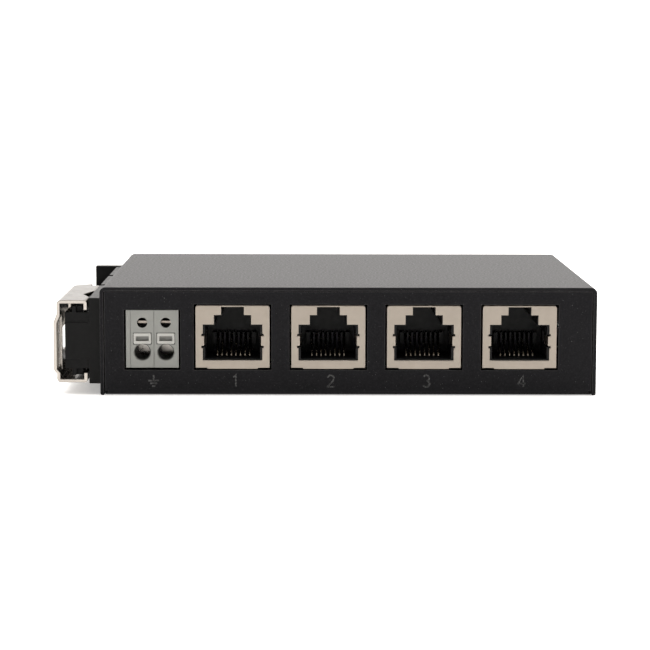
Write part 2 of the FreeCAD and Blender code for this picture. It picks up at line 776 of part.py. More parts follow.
def make_magnetics():
    """One isolating transformer module and one surge suppressor behind each jack."""
    modules, suppressors = [], []
    transformer = leaded_package("transformer_master", 0, -14.0, 12.7, 7.6, 5.6, 8)
    suppressor = leaded_package("suppressor_master", 0, -5.0, 4.9, 3.9, 1.6, 4)
    for number in range(1, 5):
        modules.append(copy(f"transformer_{number}", transformer, jack_x(number)))
        suppressors.append(copy(f"suppressor_{number}", suppressor, jack_x(number)))
    node("port_transformers", group("port_transformers", modules))
    node("port_suppressors", group("port_suppressors", suppressors))


def make_switch_electronics():
    """The switch chip with its heat sink, its crystal and its memory."""
    top = size.board_top
    chip_x, chip_y, chip_side, chip_height = 2.0, 11.0, 14.0, 1.4
    node("switch_chip", leaded_package("switch_chip", chip_x, chip_y, chip_side, chip_side, chip_height,
                                       10, "xy"))
    sink_low = top + chip_height + 0.1
    fins = [box("sink_base", around(chip_x, 7.0), around(chip_y, 7.0), (sink_low, sink_low + 1.5))]
    for index in range(6):
        fins.append(box(f"sink_fin_{index}", around(chip_x + 2.6 * (index - 2.5), 0.5), around(chip_y, 7.0),
                        (sink_low + 1.5, sink_low + 6.0)))
    node("chip_heat_sink", fuse("chip_heat_sink", fins))
    can = [box("crystal_middle", around(18.0, 3.3), around(10.0, 2.25), (top, top + 3.4))]
    can += [rod(f"crystal_end_{side + 1}", 2.25, 3.4, (18.0 + 3.3 * side, 10.0, top)) for side in (-1, 1)]
    node("clock_crystal", fuse("clock_crystal", can))
    node("memory_chip", leaded_package("memory_chip", -14.0, 12.0, 4.9, 3.9, 1.6, 4))
    node("regulator_chip", leaded_package("regulator_chip", -8.0, 28.0, 4.9, 3.9, 1.6, 4))


def make_power_parts():
    """Fuse, varistor, reservoir capacitors and inductor between the power block and the chips."""
    top = size.board_top
    node("input_fuse", box("input_fuse", around(42.0, 3.0), around(16.0, 1.3), (top, top + 2.6)))
    disc = rod("varistor_disc", 4.5, 3.6, (17.0, 33.2, top + 5.6), "y")
    legs = [rod(f"varistor_leg_{side + 1}", 0.35, 3.0, (17.0 + 2.5 * side, 35.0, top)) for side in (-1, 1)]
    node("surge_varistor", fuse("surge_varistor", [disc] + legs))
    cans = []
    for number, x in enumerate((14.0, 24.0), start=1):
        tall = rod(f"can_{number}_side", 4.0, 11.5, (x, 22.0, top))
        ring = doc.addObject("Part::Torus", f"can_{number}_crimp")
        bind(ring, "Radius1", 4.2)
        bind(ring, "Radius2", 0.5)
        place(ring, x, 22.0, top + 1.6)
        cans.append(cut(f"can_{number}", tall, [ring]))
    node("bulk_capacitors", group("bulk_capacitors", cans))
    coil = prism("inductor_blank", "XY", [(-5, -6), (5, -6), (6, -5), (6, 5), (5, 6), (-5, 6), (-6, 5),
                                         (-6, -5)], (0, 5.5))
    node("power_inductor", copy("power_inductor", coil, 2.0, 29.0, top))
    chips = []
    for column in range(4):
        for row in range(3):
            x, y = -38.0 + 3.4 * column, 22.5 + 5.0 * row
            chips.append(box(f"resistor_{len(chips) + 1}", around(x, 0.8), around(y, 0.4), (top, top + 0.5)))
    node("chip_resistors", group("chip_resistors", chips))


def make_lights():
    """Status lights on the board's right edge, and the clear rods that carry them outside."""
    lamps, rods = [], []
    rod_start = 49.3
    for number, y in enumerate(LIGHT_PLACES, start=1):
        lamps.append(box(f"lamp_{number}", (44.6, 48.8), around(y, 1.9), (size.board_top, 11.2)))
        stem = rod(f"light_stem_{number}", LIGHT_RADIUS, half_width + 0.2 - rod_start,
                   (rod_start, y, LIGHT_LEVEL), "x")
        collar = rod(f"light_collar_{number}", LIGHT_RADIUS + 0.5, 0.8,
                     (half_width - size.cover_sheet - 0.85, y, LIGHT_LEVEL), "x")
        rods.append(fuse(f"light_rod_{number}", [stem, collar]))
    node("status_lights", group("status_lights", lamps))
    node("light_pipes", group("light_pipes", rods))


# ---------------------------------------------------------------- rail foot

def out(distance):
    """The X of a point at a distance outside the case's left side."""
    return -half_width - distance


def foot_box(name, near, far, y, z):
    return box(name, (out(far), out(near)), y, z)


def make_foot():
    """Moulded foot: plate, T-shaped guide for the slide, rail seats and the fixed hook."""
    plate_y = (size.foot_front, size.foot_rear)
    step, recess = 0.3, 1.2
    web = 0.95
    root = size.foot_plate - 0.1
    solids = [
        foot_box("foot_plate", 0, size.foot_plate, plate_y, (size.foot_bottom, size.foot_top)),
        foot_box("guide_ridge", root, size.guide_head_out, (size.foot_front, size.guide_head_rear),
                 (size.ridge_low, size.ridge_high)),
        foot_box("guide_head", root, size.guide_head_out, (size.foot_front + step, size.guide_head_rear),
                 (size.guide_bottom, size.guide_top)),
        foot_box("guide_core", root, size.guide_out, (size.guide_head_rear - 0.1, size.guide_rear),
                 (size.guide_bottom, size.guide_top)),
        foot_box("guide_flange", size.flange_near, size.flange_far,
                 (size.foot_front + recess, size.guide_rear), (size.flange_bottom, size.flange_top)),
        foot_box("guide_web", size.flange_far - web, size.flange_far,
                 (size.foot_front + step, size.guide_rear), (size.flange_bottom, size.flange_top)),
        foot_box("hook_wall", root, size.hook_out, (size.hook_wall, size.foot_rear),
                 (size.foot_bottom, size.foot_top)),
        foot_box("hook_block", root, size.hook_out, (size.hook_front, size.hook_wall + 0.1),
                 (size.hook_bottom, size.hook_top)),
    ]
    seat_inset, seat_height = 2.35, 3.3
    for name, low in (("lower", size.foot_bottom + seat_inset),
                      ("upper", size.foot_top - seat_inset - seat_height)):
        solids.append(foot_box(f"seat_{name}", root, size.rail_seat, (size.seat_front, size.seat_rear),
                               (low, low + seat_height)))
    blank = fuse("foot_blank", solids)
    tools = [foot_box("rail_groove", size.rail_seat, size.rail_seat + size.rail_slot,
                      (size.hook_front - 1, size.rail_rear), (0, size.case_height))]
    notch_depth, notch_half = 1.2, 1.2
    for number, y in enumerate((-11.9, 9.5, 31.3), start=1):
        tools.append(foot_box(f"edge_notch_{number}", -1, size.foot_plate + 0.02, around(y, notch_half),
                              (size.foot_top - notch_depth, size.foot_top + 1)))
    for number, y in enumerate((size.foot_screw_front, size.foot_screw_rear), start=1):
        hole = rod(f"foot_hole_{number}", size.screw_radius + size.screw_clearance, 12.0,
                   (out(size.foot_plate + 1), y, size.screw_level), "x")
        sink = cone(f"foot_sink_{number}", size.flat_head_radius + 0.15,
                    size.screw_radius + size.screw_clearance, size.flat_head_height,
                    (out(size.foot_plate), y, size.screw_level), "x")
        tools.append(fuse(f"foot_drilling_{number}", [hole, sink]))
    tools.append(foot_box("spring_pocket", size.guide_out - 1.0, size.guide_out + 0.5, (-28.2, -27.4),
                          (7.3, 16.7)))
    return node("din_foot_body", cut("din_foot_body", blank, tools))


def make_slide():
    """Steel channel with inturned lips round the guide, two hook noses and a bridge to pull it by."""
    sheet = size.slide_sheet
    near, far = out(size.slide_near), out(size.slide_far)
    low, high = size.slide_bottom, size.slide_top
    lip = 2.1
    channel = prism("slide_channel", "XZ", [
        (near, high), (far, high), (far, low), (near, low), (near, low + lip), (near - sheet, low + lip),
        (near - sheet, low + sheet), (far + sheet, low + sheet), (far + sheet, high - sheet),
        (near - sheet, high - sheet), (near - sheet, high - lip), (near, high - lip),
    ], (size.foot_front, size.slide_nose))
    corners = {"outer": (far.value, low.value, high.value), "lip": (near.value, low.value, high.value)}

    def at_corner(which):
        x, bottom, top = corners[which]
        return lambda middle, line: (abs(middle.x - x) < 0.01 and line.Length > 20
                                     and min(abs(middle.z - bottom), abs(middle.z - top)) < 0.01)

    round_edges(channel, 0.9, at_corner("outer"))
    round_edges(channel, 0.6, at_corner("lip"))
    level = (low - 1, high + 1)
    lips_end = -31.0
    nose_x = out(size.nose_near)
    loop_rear, window_rear = size.foot_front + size.loop_depth, -16.0
    lower, upper = 4.7, 17.2
    tools = [
        box("lip_relief", (near - sheet - 0.02, near + 1), (lips_end, size.slide_nose + 1),
            (low + sheet, high - sheet)),
        prism("edge_notch", "XY", [(near + 1, -36.0), (near - 2.0, -26.8), (near + 1, -14.8)], level),
        box("rail_space", (nose_x, near + 1), (size.slide_root, size.slide_nose + 1), level),
        prism("nose_slant", "XY", [(nose_x, size.slide_nose), (far + 0.27, size.slide_root + 0.3),
                                   (far - 1, size.slide_root + 0.3), (far - 1, size.slide_nose + 1),
                                   (nose_x, size.slide_nose + 1)], level),
        box("loop_gap", (far - 1, far + sheet + 0.05), (size.foot_front - 1, loop_rear), (lower, upper)),
        prism("window", "YZ", [(-33.2, 9.0), (-33.4, 11.5), (-33.2, 14.0), (-25.0, 14.2), (-22.4, 15.2),
                               (-21.0, 18.6), (window_rear, 18.6), (window_rear, 6.3), (-24.0, 6.3),
                               (-26.0, 8.7)], (far - 1, far + sheet + 0.05)),
    ]
    blank = cut("slide_blank", channel, [fuse("slide_cuts", tools)])
    peak = out(size.loop_out)
    bridge = prism("pull_bridge", "XZ", [
        (far, lower - 0.2), (peak, lower + 0.6), (peak, upper - 1.5), (far, upper + 0.2),
        (far + sheet, upper + 0.2), (far + sheet, upper), (peak + sheet, upper - 1.7),
        (peak + sheet, lower + 0.8), (far + sheet, lower), (far + sheet, lower - 0.2),
    ], (size.foot_front, loop_rear))
    tab_out = 1.8
    tab = box("spring_tab", (far + sheet - 0.1, far + sheet + tab_out), (window_rear, window_rear + sheet),
              (8.5, 15.5))
    return node("din_slide", fuse("din_slide", [blank, bridge, tab]))


def make_slide_spring():
    """Waved strip that pushes the slide's tab towards the rail."""
    inner, outer = out(size.guide_out + 0.2), out(size.guide_out + 1.6)
    start, pitch = -27.9, 1.45
    path = [(out(size.guide_out - 0.8), start), (inner, start)]
    for index in range(1, 8):
        path.append((outer if index % 2 else inner, start + pitch * index))
    path.append((inner, -16.35))
    return node("din_slide_spring", ribbon("din_slide_spring", "XY", path, 0.2, (7.5, 16.5)))


# ---------------------------------------------------------------- assembly and files

def check_document():
    """Every feature has to have worked, and every sub-part has to be whole."""
    doc.recompute()
    for item in doc.Objects:
        if "Invalid" in item.State or "Error" in item.State:
            raise RuntimeError(f"{item.Name} failed: {item.State}")
    for item in nodes:
        if item.Shape.isNull() or not item.Shape.isValid() or not item.Shape.Solids:
            raise RuntimeError(f"{item.Label} has no valid solid")


make_base()
make_cover()
make_case_screws()
make_board()
make_board_hardware()
make_jacks()
make_terminals()
make_magnetics()
make_switch_electronics()
make_power_parts()
make_lights()
make_foot()
make_slide()
make_slide_spring()
check_document()

os.makedirs("parts", exist_ok=True)
for item in nodes:
    item.Shape.exportStep(f"parts/{item.Label}.step")
    print(f"{item.Label}: {len(item.Shape.Solids)} solids, {item.Shape.Volume:.1f} mm3")
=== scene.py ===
import json
import math

import bmesh
import bpy
from mathutils import Matrix, Vector


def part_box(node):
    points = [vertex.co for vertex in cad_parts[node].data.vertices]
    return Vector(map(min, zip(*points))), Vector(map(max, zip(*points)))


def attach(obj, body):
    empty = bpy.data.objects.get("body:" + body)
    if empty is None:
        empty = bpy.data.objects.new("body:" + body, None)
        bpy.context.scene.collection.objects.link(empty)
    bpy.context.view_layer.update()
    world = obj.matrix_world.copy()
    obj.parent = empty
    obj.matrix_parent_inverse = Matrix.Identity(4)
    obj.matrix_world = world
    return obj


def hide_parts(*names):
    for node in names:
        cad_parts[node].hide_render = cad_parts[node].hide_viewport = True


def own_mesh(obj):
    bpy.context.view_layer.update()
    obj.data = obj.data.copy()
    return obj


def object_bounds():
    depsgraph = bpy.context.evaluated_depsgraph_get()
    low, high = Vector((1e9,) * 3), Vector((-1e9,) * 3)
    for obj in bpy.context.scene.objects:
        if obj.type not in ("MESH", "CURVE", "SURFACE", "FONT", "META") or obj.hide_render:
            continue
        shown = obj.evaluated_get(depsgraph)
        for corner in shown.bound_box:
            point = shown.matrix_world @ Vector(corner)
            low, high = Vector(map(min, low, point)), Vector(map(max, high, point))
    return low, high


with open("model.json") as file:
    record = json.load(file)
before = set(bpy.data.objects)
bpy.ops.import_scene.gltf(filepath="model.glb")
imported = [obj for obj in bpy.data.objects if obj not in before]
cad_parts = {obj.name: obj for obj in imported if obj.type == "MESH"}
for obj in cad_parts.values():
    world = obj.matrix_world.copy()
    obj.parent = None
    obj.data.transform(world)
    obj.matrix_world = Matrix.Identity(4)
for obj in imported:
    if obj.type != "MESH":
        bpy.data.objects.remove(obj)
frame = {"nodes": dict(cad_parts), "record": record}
cad_low, cad_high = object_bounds()
nodes = frame["nodes"]
MM = 0.001


# ---------------------------------------------------------------- shader building

class Shader:
    """One material, built from nodes that work in the object's own metres."""

    def __init__(self, name, **settings):
        self.material = bpy.data.materials.new(name)
        self.material.use_nodes = True
        self.tree = self.material.node_tree
        self.surface = self.tree.nodes["Principled BSDF"]
        self.place = self.node("ShaderNodeTexCoord").outputs["Object"]
        for socket, value in settings.items():
            self.surface.inputs[socket.replace("_", " ")].default_value = value

    def node(self, kind, inputs=None, **settings):
        made = self.tree.nodes.new(kind)
        for name, value in settings.items():
            setattr(made, name, value)
        for name, value in (inputs or {}).items():
            if isinstance(value, bpy.types.NodeSocket):
                self.tree.links.new(value, made.inputs[name])
            else:
                made.inputs[name].default_value = value
        return made

    def stretched(self, x, y, z):
        """The place, stretched along each axis, so that grain can run one way."""
        return self.node("ShaderNodeMapping", {"Vector": self.place, "Scale": (x, y, z)}).outputs[0]

    def along(self, axis):
        """The place along one axis of the frame, in metres."""
        return self.node("ShaderNodeSeparateXYZ", {0: self.place}).outputs[axis]

    def noise(self, size_mm, detail=3.0, roughness=0.55, vector=None):
        """Noise whose cells are about this many millimetres across, from 0 to 1."""
        return self.node("ShaderNodeTexNoise", {
            "Vector": vector or self.place, "Scale": 1 / (size_mm * MM), "Detail": detail,
            "Roughness": roughness}).outputs["Fac"]

    def ramp(self, value, low, high, out_low=0.0, out_high=1.0):
        """A value from between low and high, spread between two others and held at its ends."""
        return self.node("ShaderNodeMapRange", {
            0: value, 1: low, 2: high, 3: out_low, 4: out_high}).outputs[0]

    def mix(self, share, first, second):
        """Between two colours, by a share from 0 to 1."""
        made = self.node("ShaderNodeMix", data_type="RGBA")
        for slot, value in ((0, share), (6, first), (7, second)):
            if isinstance(value, bpy.types.NodeSocket):
                self.tree.links.new(value, made.inputs[slot])
            else:
                made.inputs[slot].default_value = value
        return made.outputs[2]

    def maths(self, operation, first, second=0.0):
        return self.node("ShaderNodeMath", {0: first, 1: second}, operation=operation).outputs[0]

    def edges(self, radius_mm=0.35):
        """1 along sharp edges and 0 on open faces: where a rounded normal leaves the true one."""
        rounded = self.node("ShaderNodeBevel", {"Radius": radius_mm * MM}, samples=4).outputs[0]
        true = self.node("ShaderNodeNewGeometry").outputs["Normal"]
        facing = self.node("ShaderNodeVectorMath", {0: rounded, 1: true}, operation="DOT_PRODUCT")
        return self.ramp(facing.outputs["Value"], 0.995, 0.80)

    def colour(self, value):
        self.tree.links.new(value, self.surface.inputs["Base Color"])

    def roughness(self, value):
        self.tree.links.new(value, self.surface.inputs["Roughness"])

    def bump(self, *layers, round_mm=0.0):
        """Layers of (height from 0 to 1, depth in millimetres), each on top of the last."""
        normal = None
        if round_mm:
            normal = self.node("ShaderNodeBevel", {"Radius": round_mm * MM}, samples=6).outputs[0]
        for height, depth in layers:
            inputs = {"Height": height, "Strength": 1.0, "Distance": depth * MM}
            if normal is not None:
                inputs["Normal"] = normal
            normal = self.node("ShaderNodeBump", inputs).outputs[0]
        self.tree.links.new(normal, self.surface.inputs["Normal"])


def grey(level, warm=0.0):
    """A grey, a little warm or, below zero, a little cool."""
    return (level * (1 + warm), level, level * (1 - warm), 1.0)


def shade(colour, factor, lift=0.0):
    """A colour made lighter or darker by a factor, then lifted by a fixed amount."""
    return tuple(min(1.0, part * factor + lift) for part in colour[:3]) + (1.0,)


# ---------------------------------------------------------------- materials

def powder_coat():
    """Matt black powder coat: a fine orange-peel skin, faint mottling, paler along its edges, partly where
    the coat thins there and partly as a painted highlight.
    """
    coat = Shader("powder_coat", Roughness=0.5, Specular_IOR_Level=0.135)
    mottle = coat.noise(9.0, 2.0)
    base = coat.mix(coat.ramp(mottle, 0.35, 0.65), (0.0022, 0.0021, 0.0030, 1), (0.0036, 0.0034, 0.0046, 1))
    grain = coat.mix(coat.ramp(coat.noise(0.35, 2.0), 0.45, 0.75), base, (0.0078, 0.0072, 0.0088, 1))
    speck = coat.ramp(coat.noise(0.24, 1.0), 0.735, 0.80)
    dust = coat.mix(speck, grain, grey(0.09))
    # Edges painted paler: partly the thinner coat there, partly a painted highlight along the top-front
    # edge, which catches the light from above.
    worn_and_highlit_edge = coat.maths("MULTIPLY", coat.edges(0.3), coat.ramp(coat.noise(1.1, 4.0), 0.3, 0.7, 0.45, 0.95))
    coat.colour(coat.mix(worn_and_highlit_edge, dust, grey(0.065, 0.02)))
    coat.roughness(coat.ramp(coat.noise(0.5, 4.0), 0.3, 0.7, 0.42, 0.60))
    coat.bump((coat.noise(0.45, 2.0), 0.030), (coat.noise(0.16, 1.0), 0.010))
    return coat.material


def marking():
    """Laser marking in the coat: a dull paler grey, broken up where the coat's grain shadows it."""
    mark = Shader("laser_marking", Roughness=0.6, Specular_IOR_Level=0.2)
    broken = mark.ramp(mark.noise(0.30, 2.0), 0.38, 0.62)
    mark.colour(mark.mix(broken, grey(0.012), grey(0.072)))
    mark.roughness(mark.ramp(mark.noise(0.3, 2.0), 0.3, 0.7, 0.5, 0.7))
    mark.bump((mark.noise(0.12, 2.0), 0.01))
    return mark.material


def sheet_nickel(name, colour, roughness, grain=(1, 1, 1), round_mm=0.2, grazing=1.0, edge=1.25):
    """Nickel plate over rolled steel: faint rolling lines, cloudy tone, fine handling marks."""
    plate = Shader(name, Metallic=1.0, Roughness=roughness, Specular_Tint=grey(grazing))
    cloud = plate.noise(4.0, 3.0)
    tone = plate.mix(plate.ramp(cloud, 0.3, 0.7), shade(colour, 0.84), colour)
    # Edges painted lighter or darker than the plate by the edge factor: a painted highlight where it is
    # above 1 (the shields' and springs' edges), painted shade where it is below 1 (the slide's edges).
    edge_tone_share = plate.maths("MULTIPLY", plate.edges(round_mm), 0.7)
    plate.colour(plate.mix(edge_tone_share, tone, shade(colour, edge)))
    lines = plate.noise(0.12, 3.0, vector=plate.stretched(*grain))
    across = plate.stretched(0.05, 1.0, 1.0)
    scratch = plate.ramp(plate.noise(0.05, 1.0, vector=across), 0.66, 0.72, 0.0, 0.12)
    plain = plate.maths("ADD", plate.ramp(lines, 0.3, 0.7, -0.04, 0.05),
                        plate.ramp(cloud, 0.3, 0.7, roughness - 0.03, roughness + 0.05))
    plate.roughness(plate.maths("ADD", plain, scratch))
    plate.bump((lines, 0.002), (plate.noise(1.6, 2.0), 0.004), round_mm=round_mm)
    return plate.material


def moulded(name, colour, roughness=0.45, grain_mm=0.12, depth_mm=0.004, paler=0.25, subsurface=0.0,
            specular=0.5, painted_hole_shade=None):
    """Moulded plastic: fine spark-eroded grain, soft tone changes, edges a little paler.

    The last argument is (start, end, share): how far from the case's middle, in millimetres towards its
    front or rear, the plastic down in its holes starts to be painted darker and is as dark as it gets, and
    by how much; this painted shade stands for the shadow inside the holes.
    """
    plastic = Shader(name, Roughness=roughness, Subsurface_Weight=subsurface, Specular_IOR_Level=specular)
    plastic.surface.inputs["Subsurface Radius"].default_value = (0.0012, 0.0010, 0.0009)
    cloud = plastic.ramp(plastic.noise(5.0, 3.0), 0.3, 0.7)
    tone = plastic.mix(cloud, shade(colour, 0.88), colour)
    # Painted shade: the colour darkens with depth into the holes, where shadow falls.
    if painted_hole_shade:
        start, end, share = painted_hole_shade
        from_middle = plastic.maths("ABSOLUTE", plastic.along("Y"))
        hole_shade_share = plastic.ramp(from_middle, start * MM, end * MM, 0.0, share)
        tone = plastic.mix(hole_shade_share, tone, shade(colour, 0.12))
    edge_tone_share = plastic.maths("MULTIPLY", plastic.edges(0.2), paler)
    plastic.colour(plastic.mix(edge_tone_share, tone, shade(colour, 1.25, 0.008)))
    plastic.roughness(plastic.ramp(plastic.noise(0.8, 4.0), 0.3, 0.7, roughness - 0.06, roughness + 0.08))
    plastic.bump((plastic.noise(grain_mm, 2.0), depth_mm))
    return plastic.material


def plated(name, colour, roughness, painted_shade_above=None):
    """Smooth plated or polished metal on small parts, with a little tarnish; above a level in mm its colour
    is painted darker, as painted shade.
    """
    metal = Shader(name, Metallic=1.0, Roughness=roughness)
    stain = metal.ramp(metal.noise(1.2, 4.0), 0.4, 0.7)
    tone = metal.mix(metal.maths("MULTIPLY", stain, 0.45), colour, shade(colour, 0.7))
    # Painted shade: above the level the colour darkens, standing for the shadow over the contact wires'
    # upper parts.
    if painted_shade_above:
        fade = 0.25
        upper_shade_share = metal.ramp(metal.along("Z"), (painted_shade_above - fade) * MM, (painted_shade_above + fade) * MM)
        tone = metal.mix(upper_shade_share, tone, shade(colour, 0.25))
    metal.colour(tone)
    metal.roughness(metal.ramp(stain, 0.0, 1.0, roughness, roughness + 0.15))
    metal.bump((metal.noise(0.25, 3.0), 0.0015))
    return metal.material


def solder_mask():
    """Green solder mask over copper: the tracks' pattern shows through as a lighter, raised net."""
    board = Shader("solder_mask", Roughness=0.35, Coat_Weight=0.3)
    cells = board.node("ShaderNodeTexVoronoi", {"Vector": board.place, "Scale": 420.0},
                       feature="DISTANCE_TO_EDGE", distance="CHEBYCHEV").outputs["Distance"]
    track = board.ramp(cells, 0.06, 0.09, 1.0, 0.0)
    pour = board.ramp(board.noise(11.0, 1.0), 0.5, 0.52)
    copper = board.maths("MAXIMUM", track, pour)
    mask = board.mix(copper, (0.010, 0.085, 0.032, 1), (0.020, 0.150, 0.055, 1))
    upright = board.node("ShaderNodeSeparateXYZ", {
        0: board.node("ShaderNodeNewGeometry").outputs["Normal"]}).outputs["Z"]
    routed = board.ramp(board.maths("ABSOLUTE", upright), 0.3, 0.7, 1.0, 0.0)
    board.colour(board.mix(routed, mask, (0.012, 0.010, 0.006, 1)))
    board.roughness(board.ramp(board.noise(0.6, 3.0), 0.3, 0.7, 0.28, 0.42))
    board.bump((copper, 0.03), (board.noise(0.3, 2.0), 0.004))
    return board.material


def clear_acrylic():
    """Clear moulded acrylic, slightly frosted on its end."""
    clear = Shader("clear_acrylic", Roughness=0.12, Transmission_Weight=0.85, IOR=1.49)
    haze = clear.ramp(clear.noise(0.5, 3.0), 0.3, 0.7)
    clear.colour(clear.mix(haze, (0.86, 0.90, 0.88, 1), (0.95, 0.97, 0.96, 1)))
    clear.roughness(clear.ramp(haze, 0.0, 1.0, 0.08, 0.22))
    clear.bump((clear.noise(0.4, 2.0), 0.004))
    return clear.material


def make_materials():
    """One finished material for each of the record's slots."""
    return {
        "case_coat": powder_coat(),
        "marking": marking(),
        "black_screw": plated("black_zinc", (0.035, 0.034, 0.036, 1), 0.38),
        "board_laminate": solder_mask(),
        "zinc_steel": plated("zinc_plate", (0.60, 0.60, 0.58, 1), 0.33),
        "insulating_film": moulded("polyester_film", grey(0.05), 0.3, 1.5, 0.01),
        # The default edge factor paints the shield's edges lighter: a painted highlight.
        "shield_nickel": sheet_nickel("shield_nickel", (0.318, 0.280, 0.238, 1), 0.34, (1, 1, 0.08), 0.25),
        "jack_black": moulded("jack_nylon", grey(0.0045), 0.5, specular=0.2),
        # The contacts are painted darker above 8.9 mm: painted shade.
        "gold_contact": plated("gold_plate", (0.80, 0.72, 0.60, 1), 0.22, painted_shade_above=8.9),
        # The terminal's and buttons' plastic is painted darker down in their holes: painted shade.
        "terminal_grey": moulded("terminal_polyamide", (0.245, 0.247, 0.229, 1), 0.5, 0.15, 0.004, 0.35,
                                 painted_hole_shade=(39.82, 39.2, 1.0)),
        "button_grey": moulded("button_polyamide", (0.440, 0.436, 0.406, 1), 0.45, 0.15, 0.004, 0.35,
                               painted_hole_shade=(39.75, 39.35, 0.55)),
        "spring_steel": sheet_nickel("spring_steel", (0.56, 0.53, 0.49, 1), 0.28, (1, 0.08, 1)),
        "tinned_copper": plated("tin_plate", (0.36, 0.32, 0.28, 1), 0.38),
        "epoxy_black": moulded("moulded_epoxy", grey(0.018), 0.6, 0.2, 0.01),
        "heat_sink_black": plated("black_anodised", grey(0.03), 0.4),
        "nickel_can": plated("nickel_can", (0.70, 0.68, 0.64, 1), 0.22),
        "ceramic_white": moulded("ceramic", grey(0.62, 0.03), 0.4),
        "varistor_blue": moulded("dipped_epoxy", (0.035, 0.09, 0.32, 1), 0.25, 1.2, 0.03),
        "capacitor_sleeve": moulded("capacitor_sleeve", grey(0.03), 0.22, 2.0, 0.01),
        "ferrite_grey": moulded("ferrite", grey(0.07), 0.7, 0.15, 0.02),
        "lamp_body": moulded("lamp_resin", (0.62, 0.66, 0.60, 1), 0.25, 1.0, 0.005, 0.2, 0.3),
        "clear_acrylic": clear_acrylic(),
        "foot_black": moulded("foot_polyamide", grey(0.0030, 0.01), 0.5, 0.14, 0.006, 0.3, specular=0.14),
        # Its edge factor of 0.6 paints the slide's edges darker: painted shade.
        "slide_nickel": sheet_nickel("slide_nickel", (0.400, 0.370, 0.335, 1), 0.17, (1, 0.08, 1), 0.22,
                                     grazing=0.36, edge=0.6),
    }


def dress_nodes(materials):
    """Gives each CAD node its slot's material, and rounds the sharp edges that its maker would."""
    edge_mm = {"case_coat": 0.12, "shield_nickel": 0.05, "slide_nickel": 0.09, "terminal_grey": 0.1,
               "button_grey": 0.1, "jack_black": 0.06, "foot_black": 0.14, "heat_sink_black": 0.1}
    for part in frame["record"]["subparts"]:
        piece = nodes[part["node"]]
        slot = part["material_slot"]
        piece.data.materials.clear()
        piece.data.materials.append(materials[slot])
        round_edges(piece, edge_mm.get(slot, 0.06))


def round_edges(piece, width_mm):
    """Small rounds on a piece's sharp edges, after its faces are joined along them."""
    weld = piece.modifiers.new("join", "WELD")
    weld.merge_threshold = 1e-6
    bevel = piece.modifiers.new("edge", "BEVEL")
    bevel.width = width_mm * MM
    bevel.segments = 2
    bevel.limit_method = "ANGLE"
    bevel.angle_limit = math.radians(35)
    bevel.use_clamp_overlap = True
    bevel.harden_normals = True
    normals = piece.modifiers.new("shading", "WEIGHTED_NORMAL")
    normals.keep_sharp = True


# ---------------------------------------------------------------- springs and markings

def give_springs(materials):
    """Stand-ins for the springs: copies of their meshes in spring steel, fixed to the case in place of the
    hidden originals.
    """
    slide_spring = ("din_slide_spring", "din_slide_pull", "front", 0.6)
    springs = [slide_spring] + [
        (f"{block}_clamp_spring_{pole}", f"{block}_button_{pole}_press", end, 0.12)
        for block, end in (("pe", "rear"), ("power", "front")) for pole in (1, 2)]
    for node, joint, fixed_end, keep in springs:
        spring = bpy.data.objects.new(f"{node}_strip", nodes[node].data.copy())
        bpy.context.scene.collection.objects.link(spring)
        spring.data.materials.clear()
        spring.data.materials.append(materials["spring_steel"])
        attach(spring, "case")
        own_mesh(spring)
        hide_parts(node)


def arc(centre, radius, start, end, steps=14):
    """Points along an arc between two angles in degrees, anticlockwise if the end is larger."""
    angles = [math.radians(start + (end - start) * step / steps) for step in range(steps + 1)]
    return [(centre[0] + radius[0] * math.cos(a), centre[1] + radius[1] * math.sin(a)) for a in angles]


# Each figure's strokes, in units of its height, measured from the middle of its base.
FIGURES = {
    "1": [[(-0.16, 0.80), (0.05, 1.0), (0.05, 0.0)]],
    "2": [arc((0.0, 0.72), (0.27, 0.28), 165, -38) + [(-0.28, 0.0), (0.30, 0.0)]],
    "3": [arc((0.0, 0.755), (0.25, 0.245), 150, -80), arc((0.0, 0.26), (0.29, 0.26), 80, -150)],
    "4": [[(0.14, 0.0), (0.14, 1.0), (-0.30, 0.30), (0.32, 0.30)]],
    "earth": [[(0.0, 1.0), (0.0, 0.52)], [(-0.46, 0.52), (0.46, 0.52)], [(-0.30, 0.28), (0.30, 0.28)],
              [(-0.14, 0.04), (0.14, 0.04)]],
}


def stroke(mesh, points, half, near, far):
    """A flat ribbon along points in the XZ plane, mitred at its corners, from near to far in Y."""
    rings = []
    for index, point in enumerate(points):
        before = Vector(points[max(index - 1, 0)])
        after = Vector(points[min(index + 1, len(points) - 1)])
        here = Vector(point)
        ways = [(here - before).normalized(), (after - here).normalized()]
        ways = [way for way in ways if way.length > 0]
        along = sum(ways, Vector((0, 0))).normalized()
        across = Vector((-along.y, along.x))
        reach = min(2.0, 1 / max(0.3, abs(across.dot(Vector((-ways[0].y, ways[0].x))))))
        sides = [here + across * half * reach, here - across * half * reach]
        rings.append([mesh.verts.new((side.x, y, side.y)) for y in (near, far) for side in sides])
    for first, second in zip(rings, rings[1:]):
        for a, b in ((0, 1), (1, 3), (3, 2), (2, 0)):
            mesh.faces.new((first[a], first[b], second[b], second[a]))
    for ring in (rings[0], rings[-1]):
        mesh.faces.new((ring[0], ring[1], ring[3], ring[2]))


